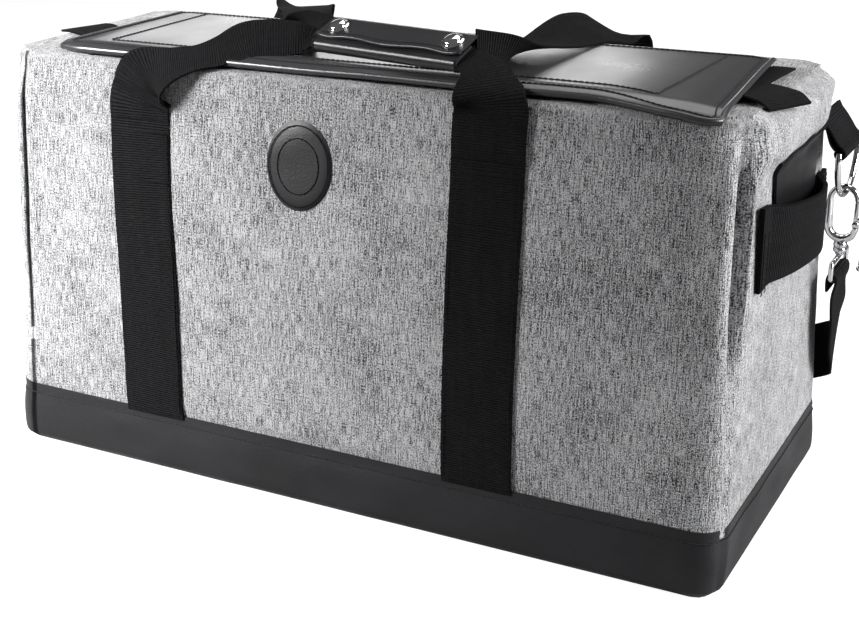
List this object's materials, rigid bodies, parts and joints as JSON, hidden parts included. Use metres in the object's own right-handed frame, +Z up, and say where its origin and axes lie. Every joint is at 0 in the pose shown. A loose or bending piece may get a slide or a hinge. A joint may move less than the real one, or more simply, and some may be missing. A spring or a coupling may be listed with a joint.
{
  "type": "duffel bag",
  "caption": "Soft duffel bag with a leather-look base band, zipped top under a flap, webbing carry handle with a snap wrap, end grab handles and a clip-on shoulder strap.",
  "frame": {"origin": "on the floor under the middle of the bag's base", "axes": "+X along the bag to its right end, -Y out of the front with the patch, +Z up"},
  "size_m": [0.6112, 0.2561, 0.3244],
  "materials": {
    "grey_fabric": "heather light-grey woven polyester with dark slubs",
    "black_vinyl": "soft-gloss fine-grained leather look",
    "flap_vinyl": "smooth glossy coated sheet",
    "black_webbing": "ribbed woven webbing, matte",
    "zip_tape": "woven tape",
    "zip_coil": "nylon coil",
    "hook_and_loop": "napped tape",
    "lining_cloth": "plain black cloth",
    "board": "stiff sheet",
    "chrome": "polished",
    "dark_metal": "satin black",
    "black_plastic": "moulded",
    "pad_cloth": "padded mesh cloth"
  },
  "bodies": {
    "bag": {"base_band_front": "black_vinyl", "base_band_left": "black_vinyl", "base_band_rear": "black_vinyl", "base_band_right": "black_vinyl", "base_board": "board", "bottom_panel": "black_vinyl", "end_patch_left": "black_vinyl", "end_patch_right": "black_vinyl", "end_tab_left": "black_webbing", "end_tab_right": "black_webbing", "front_panel": "grey_fabric", "front_patch": "black_vinyl", "front_straps": "black_webbing", "grab_handle_left": "black_webbing", "grab_handle_right": "black_webbing", "handle_legs_front": "black_webbing", "handle_legs_rear": "black_webbing", "left_end_panel": "grey_fabric", "lining": "lining_cloth", "rear_panel": "grey_fabric", "rear_straps": "black_webbing", "right_end_panel": "grey_fabric", "ring_tab_left": "black_webbing", "ring_tab_right": "black_webbing", "shoulder_strap": "black_webbing", "strap_end_left": "black_webbing", "strap_end_right": "black_webbing", "top_end_left": "grey_fabric", "top_end_right": "grey_fabric", "zip_end_tapes": "zip_tape", "zip_stops": "dark_metal"},
    "front_leaf": {"front_leaf": "grey_fabric", "zip_tape_front": "zip_tape", "zip_coil_front": "zip_coil", "loop_tape": "hook_and_loop"},
    "rear_leaf": {"rear_leaf": "grey_fabric", "zip_tape_rear": "zip_tape", "zip_coil_rear": "zip_coil", "flap_seam": "flap_vinyl"},
    "top_flap": {"top_flap": "flap_vinyl", "hook_tape": "hook_and_loop"},
    "zip_slider": {"zip_slider": "dark_metal"},
    "zip_pull": {"zip_pull": "dark_metal"},
    "carry_handle": {"grip_wrap": "black_vinyl", "grip_webbing_front": "black_webbing", "grip_webbing_rear": "black_webbing", "snap_studs": "chrome"},
    "wrap_leaf": {"wrap_leaf": "black_vinyl", "snap_caps": "chrome"},
    "shoulder_pad": {"shoulder_pad": "pad_cloth"},
    "strap_adjuster": {"strap_adjuster": "black_plastic"},
    "ring_left": {"d_ring_left": "chrome"},
    "clasp_left": {"clasp_hook_left": "chrome"},
    "gate_left": {"clasp_gate_left": "chrome"},
    "eye_left": {"clasp_eye_left": "chrome"},
    "ring_right": {"d_ring_right": "chrome"},
    "clasp_right": {"clasp_hook_right": "chrome"},
    "gate_right": {"clasp_gate_right": "chrome"},
    "eye_right": {"clasp_eye_right": "chrome"}
  },
  "joints": [
    {"name": "handle_lift", "type": "slide", "parent": "bag", "child": "carry_handle", "axis": [-0.3185, 0.4432, 0.8379], "range_m": [0, 0.14], "deforming": ["handle_legs_front", "handle_legs_rear"]},
    {"name": "wrap_leaf_hinge", "type": "hinge", "parent": "carry_handle", "child": "wrap_leaf", "pos_m": [0.03408, -0.05331, 0.32321], "axis": [-0.9816, 0.1908, 0], "range_deg": [0, 130]},
    {"name": "rear_leaf_hinge", "type": "hinge", "parent": "bag", "child": "rear_leaf", "pos_m": [0, 0.0864, 0.292], "axis": [-1, 0, 0], "range_deg": [0, 22]},
    {"name": "front_leaf_hinge", "type": "hinge", "parent": "bag", "child": "front_leaf", "pos_m": [0, -0.0864, 0.292], "axis": [1, 0, 0], "range_deg": [0, 70]},
    {"name": "flap_hinge", "type": "hinge", "parent": "rear_leaf", "child": "top_flap", "pos_m": [0, 0.048, 0.29805], "axis": [-1, 0, 0], "range_deg": [0, 26]},
    {"name": "zip_slide", "type": "slide", "parent": "bag", "child": "zip_slider", "axis": [1, 0, 0], "range_m": [-0.434, 0]},
    {"name": "zip_pull_hinge", "type": "hinge", "parent": "zip_slider", "child": "zip_pull", "pos_m": [0.226, -0.02, 0.2951], "axis": [0, 1, 0], "range_deg": [0, 45]},
    {"name": "pad_slide", "type": "slide", "parent": "bag", "child": "shoulder_pad", "axis": [1, 0, 0], "range_m": [-0.03, 0.03]},
    {"name": "adjuster_slide", "type": "slide", "parent": "bag", "child": "strap_adjuster", "axis": [1, 0, 0], "range_m": [-0.02, 0.02]},
    {"name": "ring_left_hinge", "type": "hinge", "parent": "bag", "child": "ring_left", "pos_m": [-0.28936, 0.08, 0.24], "axis": [0, 1, 0], "range_deg": [0, 80], "deforming": ["strap_end_left"]},
    {"name": "clasp_left_hinge", "type": "hinge", "parent": "ring_left", "child": "clasp_left", "pos_m": [-0.28936, 0.08, 0.208], "axis": [0, 1, 0], "range_deg": [-2, 60]},
    {"name": "gate_left_hinge", "type": "hinge", "parent": "clasp_left", "child": "gate_left", "pos_m": [-0.29836, 0.08, 0.1873], "axis": [0, 1, 0], "range_deg": [0, 30], "stiffness_Nm_per_rad": 0.02, "springref_deg": -28.65},
    {"name": "eye_left_swivel", "type": "hinge", "parent": "clasp_left", "child": "eye_left", "pos_m": [-0.28936, 0.08, 0.1703], "axis": [0, 0, 1], "range_deg": [-25, 25]},
    {"name": "ring_right_hinge", "type": "hinge", "parent": "bag", "child": "ring_right", "pos_m": [0.28936, 0.08, 0.24], "axis": [0, -1, 0], "range_deg": [0, 80], "deforming": ["strap_end_right"]},
    {"name": "clasp_right_hinge", "type": "hinge", "parent": "ring_right", "child": "clasp_right", "pos_m": [0.28936, 0.08, 0.208], "axis": [0, -1, 0], "range_deg": [-2, 60]},
    {"name": "gate_right_hinge", "type": "hinge", "parent": "clasp_right", "child": "gate_right", "pos_m": [0.29836, 0.08, 0.1873], "axis": [0, -1, 0], "range_deg": [0, 30], "stiffness_Nm_per_rad": 0.02, "springref_deg": -28.65},
    {"name": "eye_right_swivel", "type": "hinge", "parent": "clasp_right", "child": "eye_right", "pos_m": [0.28936, 0.08, 0.1703], "axis": [0, 0, 1], "range_deg": [-25, 25]}
  ],
  "couplings": [
    {"joint": "rear_leaf_hinge", "follows": "handle_lift", "rad_per_m": 2.7414},
    {"joint": "flap_hinge", "follows": "handle_lift", "rad_per_m": 3.2401},
    {"joint": "front_leaf_hinge", "follows": "handle_lift", "rad_per_m": 8.7254},
    {"joint": "zip_pull_hinge", "follows": "handle_lift", "rad_per_m": 5.6087}
  ]
}
